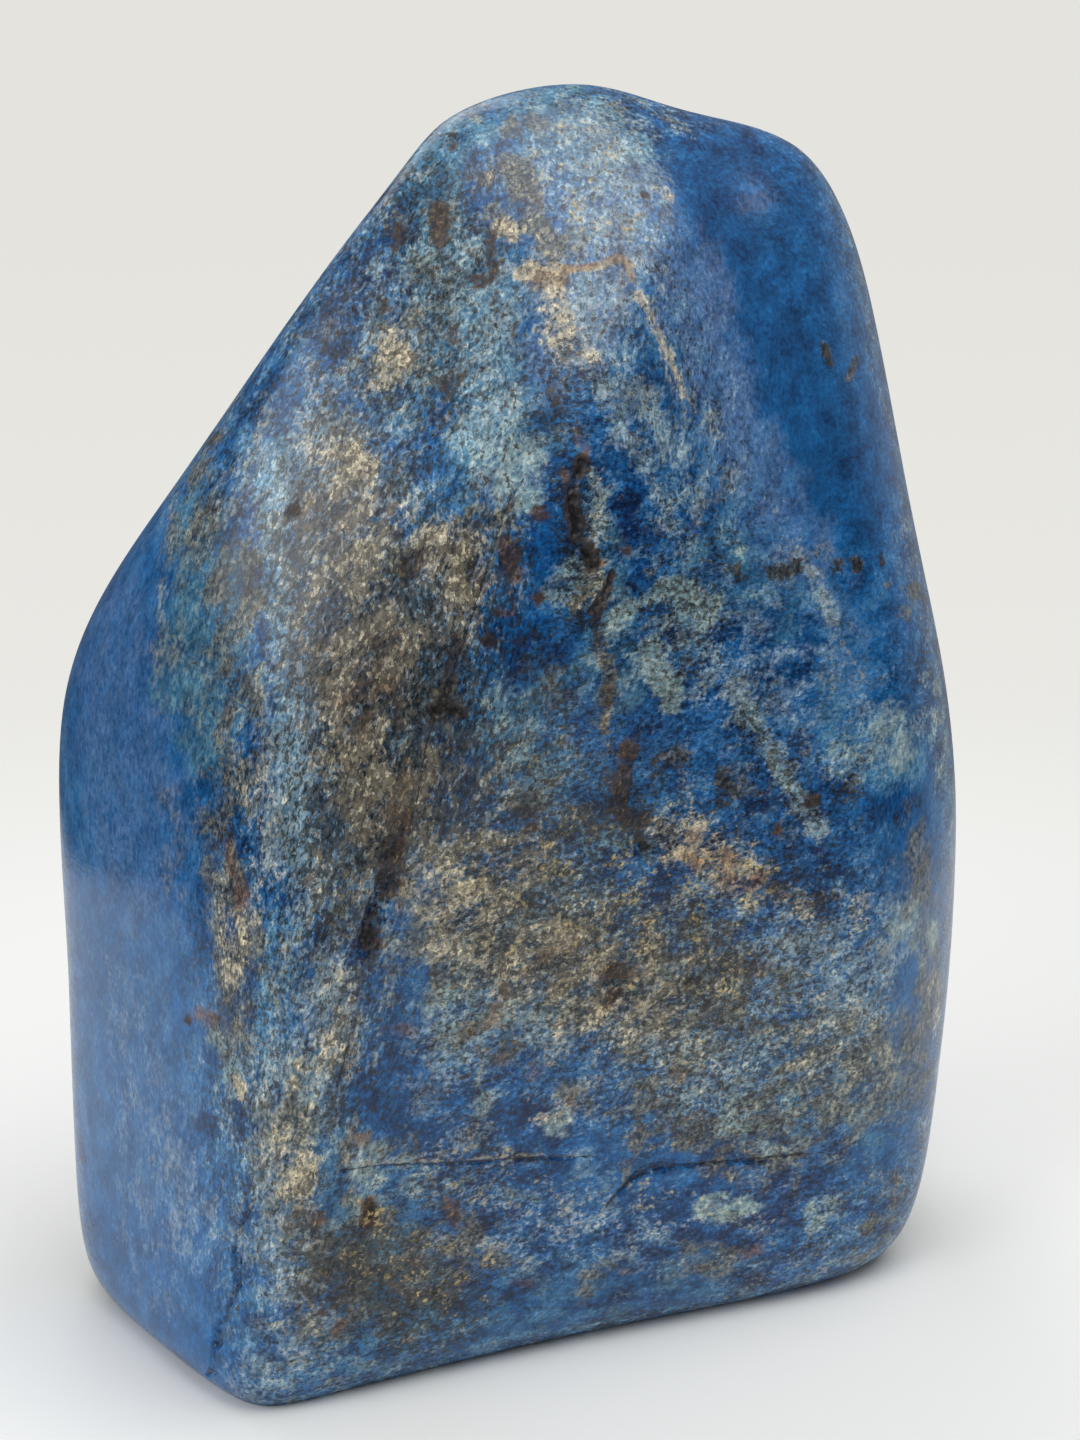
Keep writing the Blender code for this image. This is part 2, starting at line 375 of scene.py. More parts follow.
CREAM = {
    "upper facet, first": (0.34, 3, (398, 368), (392, 385)),
    "upper facet, second": (0.19, 3, (430, 310), (405, 330)),
    "upper facet, rim": (0.15, 5, (330, 400), (300, 440)),
    "facet, upper band": (0.26, 4.5, (345, 455), (320, 500)),
    "facet, middle band": (0.3, 4.5, (355, 520), (340, 590), (320, 640)),
    "facet, right band": (0.2, 4, (430, 530), (400, 600)),
    "facet, broad": (0.2, 10, (350, 560), (380, 680), (390, 780)),
    "by the ridge": (0.35, 2.6, (475, 545), (455, 600), (440, 640)),
    "pinkish patch": (0.37, 2.2, (460, 560), (470, 590)),
    "ridge strip": (0.35, 3, (395, 690), (380, 760), (375, 820)),
    "ridge strip, right": (0.32, 2, (425, 760), (410, 830)),
    "left of the long pit": (0.28, 4, (340, 880), (350, 930)),
    "under the long pit": (0.37, 3, (345, 990), (335, 1060)),
    "centre left": (0.32, 4.5, (430, 880), (480, 870), (520, 860)),
    "centre": (0.34, 5, (470, 935), (500, 950), (560, 950)),
    "centre right": (0.32, 5, (580, 960), (640, 1000), (590, 1020)),
    "centre, far right": (0.25, 5, (690, 1000), (700, 1060)),
    "tan wash": (0.46, 2.8, (680, 830), (720, 860), (745, 884)),
    "tan wash, tail": (0.34, 2, (780, 895), (810, 910)),
    "tan wash, left": (0.37, 2, (655, 830), (670, 850)),
    "seam patch": (0.97, 1.5, (528, 271), (554, 276)),
    "seam patch, foot": (0.43, 2.2, (545, 300), (548, 340)),
    "facet knot": (0.9, 1.1, (500, 224), (512, 232)),
    "facet knot, small": (0.8, 0.9, (490, 175)),
    "crest": (0.46, 1.8, (566, 330), (590, 360)),
    "crown streak": (0.3, 1.4, (515, 170), (524, 200), (545, 240), (556, 258)),
    "ridge foot": (0.3, 2.6, (300, 1120), (295, 1190)),
    "ridge foot, low": (0.28, 1.4, (302, 1240)),
    "low ridge flecks": (0.23, 3, (310, 1330), (290, 1290)),
    "left column": (0.34, 2.4, (232, 900), (240, 1000)),
    "left column fleck": (0.9, 0.7, (240, 1090), (232, 1080)),
    "left ridge flecks": (0.21, 2.6, (255, 750), (265, 900)),
    "right margin": (0.37, 2, (934, 985), (938, 1020)),
    "right margin, upper": (0.31, 1.6, (862, 900), (862, 920)),
    "lower right": (0.22, 6, (800, 1030), (880, 1060)),
    "low band": (0.13, 4, (370, 1170), (480, 1170)),
    "foot": (0.13, 5, (480, 1240), (760, 1215)),
    "middle flecks": (0.28, 4, (500, 790), (440, 800)),
    "channel foot": (0.37, 1.8, (580, 600), (596, 560)),
    "faint line": (0.4, 0.8, (640, 298), (655, 322), (668, 352), (682, 392)),
    "centre, wide": (0.24, 9, (480, 920), (640, 960)),
    "crown dot patch": (0.5, 1.2, (657, 186), (668, 194)),
    "ridge foot, wide": (0.22, 4, (285, 1100), (290, 1230)),
    "upper facet, streak": (0.4, 1.5, (398, 320), (396, 352)),
    "low patch": (0.5, 1.4, (540, 1118), (556, 1116)),
    "facet, tan": (0.42, 4, (350, 660), (355, 760), (380, 820)),
    "vein under the channel": (0.22, 1, (604, 640), (610, 690), (606, 720)),
    "seam line": (0.85, 0.5, (560, 270), (578, 269), (597, 267), (621, 257), (630, 266)),
    "facet, white grains": (0.4, 2.4, (395, 662), (375, 610), (350, 560)),
    "facet, knots": (0.6, 1.5, (345, 455), (362, 470)),
    "facet, knots, second": (0.55, 1.7, (428, 548), (440, 556)),
    "facet, knots, third": (0.5, 1.6, (395, 660), (388, 676)),
    "channel side": (0.5, 0.7, (598, 470), (597, 500), (592, 530)),
}
RUST = {
    "seam line": (0.75, 0.5, (566, 268), (597, 266), (621, 256), (634, 280)),
    "seam patch": (0.36, 1.6, (532, 272), (554, 282)),
    "channel rim": (0.85, 0.5, (566, 470), (564, 486)),
    "channel rim, low": (0.52, 0.68, (590, 545), (602, 570)),
    "ridge spots": (0.7, 1.1, (508, 545), (514, 575)),
    "ridge spot, low": (0.7, 0.8, (538, 597)),
    "ridge spot, red": (0.6, 0.59, (500, 613), (510, 612)),
    "long pit, upper": (0.56, 1.1, (404, 815), (388, 870)),
    "long pit, side": (0.62, 0.9, (404, 908), (399, 888)),
    "ridge patch": (0.3, 2.4, (380, 650), (370, 700)),
    "tan wash": (0.55, 2.2, (695, 848), (745, 880)),
    "tan wash, tail": (0.45, 1.02, (764, 872), (785, 900)),
    "centre spots": (0.5, 1.1, (468, 1036), (466, 1022)),
    "centre cloud": (0.45, 1.4, (495, 1002), (491, 1030), (500, 1058)),
    "centre right": (0.35, 1.3, (740, 965), (775, 975)),
    "low cloud": (0.45, 1.3, (684, 1076), (676, 1068)),
    "low cloud, left": (0.35, 1.1, (545, 1060), (538, 1070)),
    "ridge foot": (0.64, 1.53, (304, 1212), (312, 1222)),
    "left column": (0.49, 1.53, (232, 850), (240, 900)),
    "left column, low": (0.45, 1.1, (190, 1015), (232, 1025)),
    "left face streak": (0.38, 1.02, (180, 790), (184, 800)),
    "foot spots": (0.56, 0.94, (338, 1333), (342, 1325)),
    "foot spots, second": (0.56, 0.85, (412, 1340)),
    "foot spots, third": (0.52, 0.68, (373, 1376)),
    "foot spots, fourth": (0.6, 0.94, (520, 1280), (532, 1284)),
    "foot spots, fifth": (0.6, 0.68, (493, 1272)),
    "foot spot, right": (0.4, 0.7, (628, 1271)),
    "foot streak": (0.4, 1.1, (735, 1254), (755, 1250)),
    "foot streak, upper": (0.4, 0.9, (765, 1235), (785, 1222)),
    "upper facet rim": (0.6, 0.77, (452, 136), (452, 145)),
    "facet knot": (0.38, 0.68, (508, 228)),
    "right flank dot": (0.52, 0.51, (893, 765)),
    "right flank": (0.38, 1.02, (862, 905), (866, 918)),
    "foot shade": (0.26, 3.4, (400, 1270), (450, 1290)),
    "low band": (0.6, 0.85, (355, 1138), (365, 1140)),
    "low band spot": (0.6, 0.59, (458, 1120)),
    "middle spot": (0.52, 0.59, (515, 785)),
    "middle stain": (0.45, 1.27, (515, 815), (530, 822)),
    "channel rim, top": (0.5, 0.6, (590, 448), (582, 464)),
    "facet, brown grains": (0.25, 4, (390, 660), (385, 740), (390, 800)),
    "centre streak": (0.4, 0.9, (500, 992), (528, 976)),
    "thin centre streak": (0.5, 0.5, (540, 958), (562, 944)),
    "centre spot": (0.7, 1.3, (612, 974), (628, 974)),
    "centre spot, foot": (0.7, 1, (609, 1001), (618, 994)),
    "low band, top": (0.4, 1.2, (385, 1032), (412, 1028)),
    "low patch": (0.35, 1.4, (560, 1094), (588, 1108)),
    "foot spot": (0.7, 0.9, (368, 1202), (370, 1222)),
    "second foot spot": (0.75, 0.9, (449, 1196), (452, 1224)),
    "ridge top": (0.35, 0.8, (564, 404), (576, 440)),
    "block": (0.5, 0.9, (624, 748), (616, 790)),
}
UMBER = {
    "channel": (
        0.98, 0.95, (583, 462), (577, 478), (573, 496), (574, 508), (578, 522), (577, 538), (586, 550),
        (595, 566)),
    "channel foot": (0.98, 0.8, (614, 572), (609, 586), (602, 598), (596, 612)),
    "stain under the channel": (0.7, 0.8, (597, 618), (598, 642)),
    "block": (0.66, 1.25, (632, 748), (627, 775), (620, 800)),
    "block, foot": (0.98, 0.7, (640, 838), (646, 846)),
    "block, haze": (0.35, 3, (610, 780), (640, 800)),
    "long pit": (0.98, 1.15, (387, 882), (376, 912), (369, 942)),
    "long pit, upper": (0.45, 1.3, (393, 846), (388, 876)),
    "ridge pit": (0.98, 0.9, (440, 712), (447, 702), (456, 714), (466, 713)),
    "ridge line": (0.65, 1, (458, 640), (447, 690)),
    "patch on the ridge": (0.6, 1.3, (508, 575), (514, 560)),
    "patch on the facet": (0.65, 1.3, (418, 563), (410, 570)),
    "patch low on the facet": (0.45, 1.6, (372, 646), (384, 660)),
    "brown haze": (0.1, 3, (372, 650), (385, 690), (380, 760)),
    "brown haze, low": (0.3, 2.4, (395, 800), (392, 846)),
    "spot": (0.78, 0.8, (326, 643)),
    "spot on the rim": (0.98, 1, (293, 512)),
    "spot by the channel": (0.98, 1, (540, 511)),
    "spot below it": (0.91, 0.9, (540, 597)),
    "dark dot": (0.98, 0.6, (576, 622)),
    "teal dot": (0.98, 0.8, (488, 641)),
    "right of the channel": (0.78, 1, (627, 550)),
    "spot on the upper facet": (0.85, 1.1, (436, 208), (441, 238)),
    "second spot there": (0.95, 0.9, (476, 279), (482, 283)),
    "third spot there": (0.85, 0.8, (448, 328), (454, 342)),
    "fourth spot there": (0.7, 1.1, (400, 232), (398, 244)),
    "shoulder spots": (0.3, 0.8, (827, 352), (832, 364)),
    "shoulder spots, right": (0.2, 0.7, (856, 358), (848, 376)),
    "centre spot": (0.75, 1.3, (612, 974), (628, 974)),
    "centre spot, foot": (0.75, 1, (609, 1001), (618, 994)),
    "second centre spot": (0.98, 1, (692, 982)),
    "third centre spot": (0.91, 0.9, (705, 1007)),
    "broken band knot": (0.98, 1, (813, 802)),
    "broken band dot": (0.98, 0.8, (778, 830)),
    "middle stain": (0.6, 1.4, (520, 815), (535, 828)),
    "stain in the centre": (0.4, 2, (508, 1028), (515, 1048)),
    "foot spot": (0.7, 0.9, (368, 1202), (369, 1222)),
    "second foot spot": (0.5, 0.9, (449, 1196), (452, 1224)),
    "third foot spot": (0.98, 0.7, (322, 1312)),
    "foot dusk": (0.3, 5, (350, 1260), (400, 1250)),
    "rim of the left face": (0.65, 1.4, (212, 440)),
    "left spot": (0.91, 0.8, (186, 1020)),
    "crown dot": (0.98, 0.6, (645, 193)),
    "small dot": (0.91, 0.35, (606, 333)),
    "small dot, right": (0.78, 0.4, (692, 381)),
    "fifth spot there": (0.7, 1.1, (452, 385), (448, 390)),
    "sixth spot there": (0.85, 0.6, (515, 322), (517, 334)),
    "seventh spot there": (0.8, 0.6, (490, 229), (496, 307)),
    "upper facet, thin line": (0.6, 0.5, (458, 345), (464, 375)),
    "upper facet, left": (0.5, 1.2, (392, 302), (388, 312)),
    "upper facet rim": (0.7, 0.8, (452, 134), (452, 147)),
    "ridge top": (0.45, 0.9, (545, 384), (562, 412)),
    "toe line": (0.45, 0.45, (352, 1034), (346, 1062), (338, 1088)),
    "low crack, tail": (0.5, 0.5, (608, 1206), (622, 1192)),
    "ridge line, top": (0.7, 0.35, (522, 482), (506, 512)),
    "block, lower": (0.85, 0.9, (610, 806), (640, 822)),
    "vein under the channel": (0.4, 0.9, (598, 625), (606, 660), (609, 700), (602, 735)),
}
PEPPER = {
    "upper facet": (0.26, 9, (420, 220), (400, 300), (380, 420)),
    "facet": (0.58, 9, (340, 560), (380, 700), (400, 800)),
    "ridge": (0.45, 5, (490, 560), (450, 680)),
    "ridge top": (0.32, 3, (570, 370), (560, 420)),
    "ridge strip": (0.5, 3.4, (330, 820), (335, 920)),
    "toe strip": (0.35, 1.5, (368, 962), (352, 1000), (340, 1060), (335, 1120)),
    "toe strip, low": (0.35, 2, (310, 1180), (305, 1290)),
    "islands": (0.35, 4, (660, 620), (700, 640)),
    "middle": (0.3, 8, (470, 780), (560, 820)),
    "centre": (0.42, 9, (520, 930), (680, 960)),
    "block": (0.5, 3, (610, 820), (650, 840)),
    "right line": (0.7, 0.85, (764, 571), (785, 572)),
    "broken band": (0.4, 1.6, (745, 720), (790, 790), (820, 820)),
    "low band": (0.25, 7, (400, 1100), (480, 1150)),
    "foot": (0.5, 6, (360, 1270), (440, 1310)),
    "lower right": (0.2, 8, (760, 1000), (700, 1060)),
    "tan wash": (0.4, 3, (780, 880), (820, 905)),
    "low crack": (0.6, 0.5, (512, 1157), (560, 1164)),
    "right line, second": (0.8, 0.9, (797, 567)),
    "right line, third": (0.8, 0.9, (838, 566)),
    "right line, fourth": (0.85, 0.9, (858, 564)),
    "right line, fifth": (0.8, 0.85, (882, 560)),
    "right line, sixth": (0.6, 0.8, (738, 568), (742, 582)),
    "shoulder spots": (0.62, 0.8, (825, 350), (832, 367)),
    "shoulder spots, right": (0.5, 0.7, (857, 357), (848, 376)),
    "flank dusk": (0.6, 1.3, (838, 796), (864, 792)),
    "flank dusk, lower": (0.5, 1.3, (898, 818), (915, 802)),
    "dusk right of the block": (0.6, 1.2, (722, 775), (724, 800)),
    "dusk by the block": (0.5, 1.4, (655, 772), (680, 760)),
    "channel": (0.5, 2.4, (572, 480), (575, 560), (590, 610)),
    "under the ridge": (0.45, 3.5, (530, 650), (560, 700)),
}
PYRITE = {
    "foot": (0.35, 5, (360, 1230), (420, 1280), (470, 1290)),
    "centre": (0.25, 9, (520, 900), (700, 950)),
    "tan wash": (0.35, 3, (700, 830), (760, 880)),
    "crown": (0.25, 6, (590, 130), (610, 220)),
    "low band": (0.25, 6, (480, 1150), (700, 1190)),
}
CALM = {
    "left face": (0.95, 16, (110, 660), (120, 900), (130, 1150), (150, 1300)),
    "right shoulder": (0.8, 12, (760, 200), (800, 300), (850, 450)),
    "right shoulder, foot": (0.6, 6, (850, 520), (900, 620)),
    "right flank": (0.6, 6, (900, 720), (920, 840), (920, 1000), (890, 1130)),
    "low band": (0.4, 5, (420, 1100), (520, 1150), (700, 1190)),
    "foot": (0.4, 5, (480, 1330), (700, 1270)),
    "right of centre": (0.5, 8, (790, 610), (840, 680)),
}
UPRIGHT = {
    "left face": (0.95, 22, (120, 700), (150, 1000), (160, 1200)),
    "left ridge": (0.95, 14, (270, 500), (290, 800), (280, 1100)),
    "left facet": (0.95, 16, (400, 250), (380, 500), (400, 700)),
    "crown": (0.8, 10, (560, 160), (600, 200)),
    "leaning facet": (0.7, 14, (680, 300), (740, 400)),
    "right rim": (0.6, 8, (910, 800), (930, 1000)),
}

# The marks become amounts on the stone.
# Every mark is laid on the polished skin where the picture shows it, as a line of places. Each point
# of the skin then takes the mark's amount, whole near the line and fading out beyond the mark's reach.

PIXEL_STEP = 6.0


def laid_on_stone(pixels):
    """The places on the stone below a run of pixels, and the ways out of the stone there."""
    path = [pixels[0]]
    for start, end in zip(pixels, pixels[1:]):
        steps = max(1, math.ceil(math.dist(start, end) / PIXEL_STEP))
        for i in range(1, steps + 1):
            path.append((start[0] + (end[0] - start[0]) * i / steps,
                         start[1] + (end[1] - start[1]) * i / steps))
    seen = [seen_at(pixel) for pixel in path]
    return np.array([place for place, _ in seen]), np.array([outward for _, outward in seen])


def steps_off(points, places):
    """The step to each point from a line's nearest place, and the number of the line's part there."""
    if len(places) == 1:
        return points - places[0], np.zeros(len(points), dtype=int)
    best = np.full(len(points), np.inf)
    steps = np.zeros_like(points)
    parts = np.zeros(len(points), dtype=int)
    for i in range(len(places) - 1):
        run = places[i + 1] - places[i]
        share = np.clip((points - places[i]) @ run / max(run @ run, 1e-12), 0, 1)
        step = points - (places[i] + share[:, None] * run)
        length = np.linalg.norm(step, axis=1)
        closer = length < best
        best[closer] = length[closer]
        steps[closer] = step[closer]
        parts[closer] = i
    return steps, parts


def fade(distance, reach):
    """1 within half of the reach, and falling smoothly to 0 at one and a half times the reach."""
    t = np.clip(1.5 - distance / reach, 0, 1)
    return t * t * (3 - 2 * t)


def around(points, places, margin):
    """The numbers of the points that are within a margin of a line's surroundings."""
    middle = (places.min(axis=0) + places.max(axis=0)) / 2
    radius = np.linalg.norm(places - middle, axis=1).max() + margin
    return np.nonzero(((points - middle) ** 2).sum(axis=1) < radius * radius)[0]


# Pits and cracks.
# The softer veins wore away under the polish and left small pits, and hairline cracks run over the foot
# and the ridge. Each line has a half-width and a depth in millimetres, and the pixels that it runs
# through. The pale seams are filled and flush, so their depth is 0.

PITS = {
    "channel": (
        0.35, 0.6, (583, 462), (577, 478), (573, 496), (574, 508), (578, 522), (577, 538), (586, 550),
        (595, 566)),
    "channel foot": (0.3, 0.4, (614, 572), (609, 586), (602, 598), (592, 612)),
    "long pit": (0.8, 0.9, (387, 880), (376, 912), (369, 942)),
    "long pit, upper": (0.6, 0.35, (400, 822), (392, 852)),
    "ridge pit": (0.7, 0.6, (440, 710), (448, 705), (456, 714)),
    "ridge pit, tail": (0.5, 0.4, (452, 684), (444, 700)),
    "patch on the ridge": (1.0, 0.3, (506, 572), (513, 562)),
    "patch on the facet": (1.1, 0.3, (418, 563), (410, 568)),
    "block": (0.8, 0.25, (632, 755), (624, 795)),
    "block, foot": (0.7, 0.45, (634, 836), (642, 846)),
    "centre spot": (1.0, 0.35, (616, 975), (626, 977)),
    "seam patch": (0.8, 0.25, (520, 262), (526, 268)),
    "corner, upper": (0.45, 0.5, (236, 1258), (236, 1284)),
    "corner, lower": (0.6, 0.6, (220, 1328), (214, 1345)),
    "rim nick": (0.5, 0.35, (452, 138), (450, 144)),
    "foot spot": (0.6, 0.3, (368, 1210), (370, 1216)),
}
CRACKS = {
    "low crack, left": (0.16, 0.22, (343, 1171), (387, 1166), (454, 1164), (517, 1159), (592, 1157)),
    "low crack, right": (
        0.24, 0.35, (608, 1206), (616, 1196), (638, 1175), (652, 1169), (675, 1167), (715, 1163),
        (748, 1161), (803, 1155)),
    "low crack, widest": (0.5, 0.5, (634, 1179), (643, 1173), (652, 1169), (664, 1167)),
    "low crack, end": (0.14, 0.15, (819, 1153), (834, 1156), (845, 1149), (863, 1139)),
    "corner crack": (0.22, 0.3, (248, 1212), (236, 1231), (233, 1252), (236, 1290), (227, 1307)),
    "corner crack, lower": (
        0.25, 0.35, (227, 1307), (225, 1319), (220, 1332), (213, 1347), (212, 1367), (204, 1380)),
    "ridge line": (0.2, 0.25, (506, 508), (476, 606), (457, 664), (440, 704), (427, 744), (418, 800)),
    "toe line": (0.14, 0.15, (351, 1036), (338, 1087)),
    "brow line": (0.2, 0.2, (522, 482), (506, 508)),
}
SEAMS = {
    "crown seam": (0.36, 0.0, (556, 270), (569, 268), (597, 266), (621, 256), (629, 266), (634, 283)),
    "leaning seam": (0.22, 0.0, (640, 294), (653, 316), (666, 348), (679, 385), (690, 400)),
    "right seam": (0.16, 0.0, (796, 547), (810, 570), (822, 590), (834, 625), (838, 640)),
    "low seam": (0.14, 0.0, (484, 1064), (479, 1076)),
    "low seam, second": (0.16, 0.0, (489, 1099), (474, 1138)),
    "corner seam": (0.2, 0.0, (250, 1205), (240, 1225), (234, 1246)),
    "low seam along the crack": (0.24, 0.0, (360, 1164), (454, 1160), (540, 1155)),
    "foot seam": (0.15, 0.0, (598, 1216), (612, 1200)),
    "right face seam": (0.13, 0.0, (862, 1000), (880, 960), (906, 915)),
    "right seam, foot": (0.16, 0.0, (845, 645), (858, 668), (866, 680)),
}
FINE_WITHIN = 1.7 * MM
FINEST_WITHIN = 0.9 * MM
PIT_ROUGHNESS = 1.4
WIDTH_AND_ITS_CHANGE = (1.25, 0.5)
DEPTH_AND_ITS_CHANGE = (0.85, 0.5)
WAVE_DEPTH = 0.22
WAVE_LENGTH = 17.0
LEVEL_BELOW = 6.0 * MM


def refined(mesh, lines, margin):
    """Cuts the faces near some lines in four, so that fine relief has points to stand on."""
    shape = bmesh.new()
    shape.from_mesh(mesh)
    middles = np.array([face.calc_center_median() for face in shape.faces])
    chosen = set()
    for places, _ in lines:
        near = around(middles, places, margin)
        steps, _ = steps_off(middles[near], places)
        chosen.update(near[np.linalg.norm(steps, axis=1) < margin].tolist())
    shape.faces.ensure_lookup_table()
    edges = {edge for number in chosen for edge in shape.faces[number].edges}
    bmesh.ops.subdivide_edges(shape, edges=list(edges), cuts=1, use_grid_fill=True)
    shape.to_mesh(mesh)
    shape.free()


pit_lines = {name: laid_on_stone(pit[2:]) for name, pit in PITS.items()}
crack_lines = {name: laid_on_stone(crack[2:]) for name, crack in CRACKS.items()}
seam_lines = {name: laid_on_stone(seam[2:]) for name, seam in SEAMS.items()}
refined(skin, [*pit_lines.values(), *crack_lines.values(), *seam_lines.values()], FINE_WITHIN)
refined(skin, [*pit_lines.values(), *crack_lines.values()], FINEST_WITHIN)

points = np.empty(len(skin.vertices) * 3)
skin.vertices.foreach_get("co", points)
points = points.reshape(-1, 3)
outward_ways = np.empty(len(points) * 3)
skin.vertices.foreach_get("normal", outward_ways)
outward_ways = outward_ways.reshape(-1, 3)
sink = np.zeros(len(points))
for name, (half_width, depth, *_) in [*PITS.items(), *CRACKS.items()]:
    places, _ = pit_lines[name] if name in PITS else crack_lines[name]
    near = around(points, places, 3 * half_width * MM)
    steps, _ = steps_off(points[near], places)
    rough = np.array([noise.noise(Vector(p) * PIT_ROUGHNESS / MM) for p in points[near]])
    widths, depths = [
        whole + change * rough for whole, change in (WIDTH_AND_ITS_CHANGE, DEPTH_AND_ITS_CHANGE)]
    hollow = fade(np.linalg.norm(steps, axis=1), half_width * MM * widths)
    sink[near] = np.maximum(sink[near], depth * hollow * depths)
waves = np.array([noise.noise(Vector(p) / (WAVE_LENGTH * MM)) for p in points])
standing_clear = np.clip(points[:, 2] / LEVEL_BELOW, 0, 1)
sink += WAVE_DEPTH * (0.5 + 0.5 * waves) * standing_clear
points = points - outward_ways * sink[:, None] * MM
skin.vertices.foreach_set("co", points.ravel())
skin.update()


# The minerals' amounts.
# The places that the picture does not show carry on with the same rock: clouds of the pale, grey and
# speckled minerals, drawn out along the same upright grain, worked out from smooth noise.

EVERYWHERE = {
    "azure": 0.3, "teal": 0.32, "lavender": 0.1, "frost_and_highlight": 0.26, "pale": 0.06, "grey": 0.12,
    "cream": 0.05, "pepper": 0.26, "pyrite": 0.08,
}
CALM_SHARE = 0.75
DEEP_SHARE = 0.7
# Each cloud and each noise has a size in millimetres and a number of its own, which keeps it unlike the
# others. A cloud also has an amount.
UNSEEN_CLOUDS = {
    "deep": (0.75, 19, 1), "azure": (0.4, 12, 2), "teal": (0.4, 15, 3), "lavender": (0.35, 21, 4),
    "frost_and_highlight": (0.45, 13, 5), "pale": (0.35, 11, 6), "cyan": (0.3, 14, 7), "grey": (0.6, 17, 8),
    "cream": (0.45, 15, 9), "rust": (0.3, 9, 10), "umber": (0.3, 8, 11), "pepper": (0.45, 16, 12),
    "pyrite": (0.4, 18, 13),
}
FRONT_MARKS = {
    "deep": DEEP_BLUE, "azure": AZURE, "teal": TEAL, "lavender": LAVENDER, "frost_and_highlight": FROST_AND_HIGHLIGHT,
    "pale": PALE, "cyan": CYAN, "grey": GREY, "cream": CREAM, "rust": RUST, "umber": UMBER,
    "pepper": PEPPER, "pyrite": PYRITE,
}
LEVEL_GRAIN = (-6, (1.3, 1.1, 0.85))
UPRIGHT_GRAIN = (17, (0.85, 0.85, 1.6))
NOISE_SEED = 3
NUMBER_GAP = 53.7
CLOUD_ROUGHNESS = 0.9
CLOUD_OCTAVE = 2.0
CLOUD_OCTAVES = 3
CLOUD_CONTRAST = 2.2
CLOUD_LIFT = 0.15
CALM_CLOUD = (0.8, 26, 14)
RAGGED_EDGE = (3.0, 20)
RAGGED_AT_MOST = 3.2
RAGGEDNESS = 0.6
MARK_MARGIN = 2.5
MOTTLE = (2.6, 21)
BROAD_MOTTLE = (12.0, 22)
BEND_NOISE = (3.3, 23)
BEND = 0.25
SIGHT_FADES_OVER = 0.25
UPRIGHT_UNSEEN = 0.8


def along_grain(lean, size):
    """The skin's points in millimetres, drawn out along an axis that leans to the right."""
    tilt = math.radians(lean)
    ways = np.array([
        (math.cos(tilt), 0, -math.sin(tilt)), (0, 1, 0), (math.sin(tilt), 0, math.cos(tilt))])
    return points / MM @ ways.T / np.array(size)


def noises(places, size, number):
    """Three unlike noises of two octaves at each place."""
    offset = Vector((NUMBER_GAP * number, 0, 0))
    return np.array([
        noise.noise_vector(Vector(p) / size + offset)
        + 0.5 * noise.noise_vector(Vector(p) / (0.5 * size) - offset) for p in places])


def evened(values):
    """The same values in the same order, spread evenly from 0 to 1."""
    return values.argsort(axis=0).argsort(axis=0) / len(values)


noise.seed_set(NOISE_SEED)
level_places = along_grain(*LEVEL_GRAIN)
upright_places = along_grain(*UPRIGHT_GRAIN)
ragged = noises(points / MM, *RAGGED_EDGE)


def amounts_of(marks, edge):
    """One table's amount at every point of the skin, for the minerals and for the painted highlight and
    shade among their marks. A noise moves its marks' edges in and out.
    """
    left_over = np.ones(len(points))
    for amount, reach, *pixels in marks.values():
        places, _ = laid_on_stone(pixels)
        near = around(points, places, MARK_MARGIN * reach * MM)
        steps, _ = steps_off(points[near], places)
        wobble = RAGGEDNESS * min(reach, RAGGED_AT_MOST) * MM * ragged[near, edge]
        distance = np.linalg.norm(steps, axis=1) + wobble
        left_over[near] *= 1 - amount * fade(distance, reach * MM)
    return 1 - left_over


def cloud(amount, size, number):
    """A mineral's amount from smooth noise: none over most of the stone, and a cloud here and there."""
    offset = Vector((NUMBER_GAP * number, 0, 0))
    heights = np.array([
        noise.fractal(Vector(p) / size + offset, CLOUD_ROUGHNESS, CLOUD_OCTAVE, CLOUD_OCTAVES)
        for p in upright_places])
    return amount * np.clip(heights * CLOUD_CONTRAST + CLOUD_LIFT, 0, 1)


to_eye = np.array(eye) - points
to_eye /= np.linalg.norm(to_eye, axis=1)[:, None]
unseen = np.clip(0.5 - (outward_ways * to_eye).sum(axis=1) / SIGHT_FADES_OVER, 0, 1)


def keep(name, values):
    """Stores a number, or three, for each point of the skin under a name that the material reads."""
    kind, part = ("FLOAT", "value") if values.ndim == 1 else ("FLOAT_VECTOR", "vector")
    layer = skin.attributes.new(name, kind, "POINT")
    layer.data.foreach_set(part, values.astype(np.float32).ravel())


deep = amounts_of(DEEP_BLUE, 0) * (1 - unseen)
calm = amounts_of(CALM, 1) * (1 - unseen) + cloud(*CALM_CLOUD) * unseen
upright = np.maximum(amounts_of(UPRIGHT, 0), UPRIGHT_UNSEEN * unseen)
for number, (mineral, marks) in enumerate(FRONT_MARKS.items()):
    marked = amounts_of(marks, number % 3) * (1 - unseen) + cloud(*UNSEEN_CLOUDS[mineral]) * unseen
    ground = EVERYWHERE.get(mineral, 0) * (1 - CALM_SHARE * calm) * (1 - DEEP_SHARE * deep)
    keep(mineral, 1 - (1 - marked) * (1 - ground))
keep("upright", upright)
keep("calm", calm)
mottled = [noises(places, *MOTTLE) for places in (level_places, upright_places)]
keep("mottle", evened(mottled[0] + (mottled[1] - mottled[0]) * upright[:, None]))
keep("broad_mottle", evened(noises(upright_places, *BROAD_MOTTLE))[:, 0])
keep("bend", BEND * noises(points / MM, *BEND_NOISE))


LINE_MARGIN = 2.5 * MM
LINE_GONE_FROM = 0.9 * MM
FAR_ASIDE = 9.0
FULL_SHADE_DEPTH = 0.5


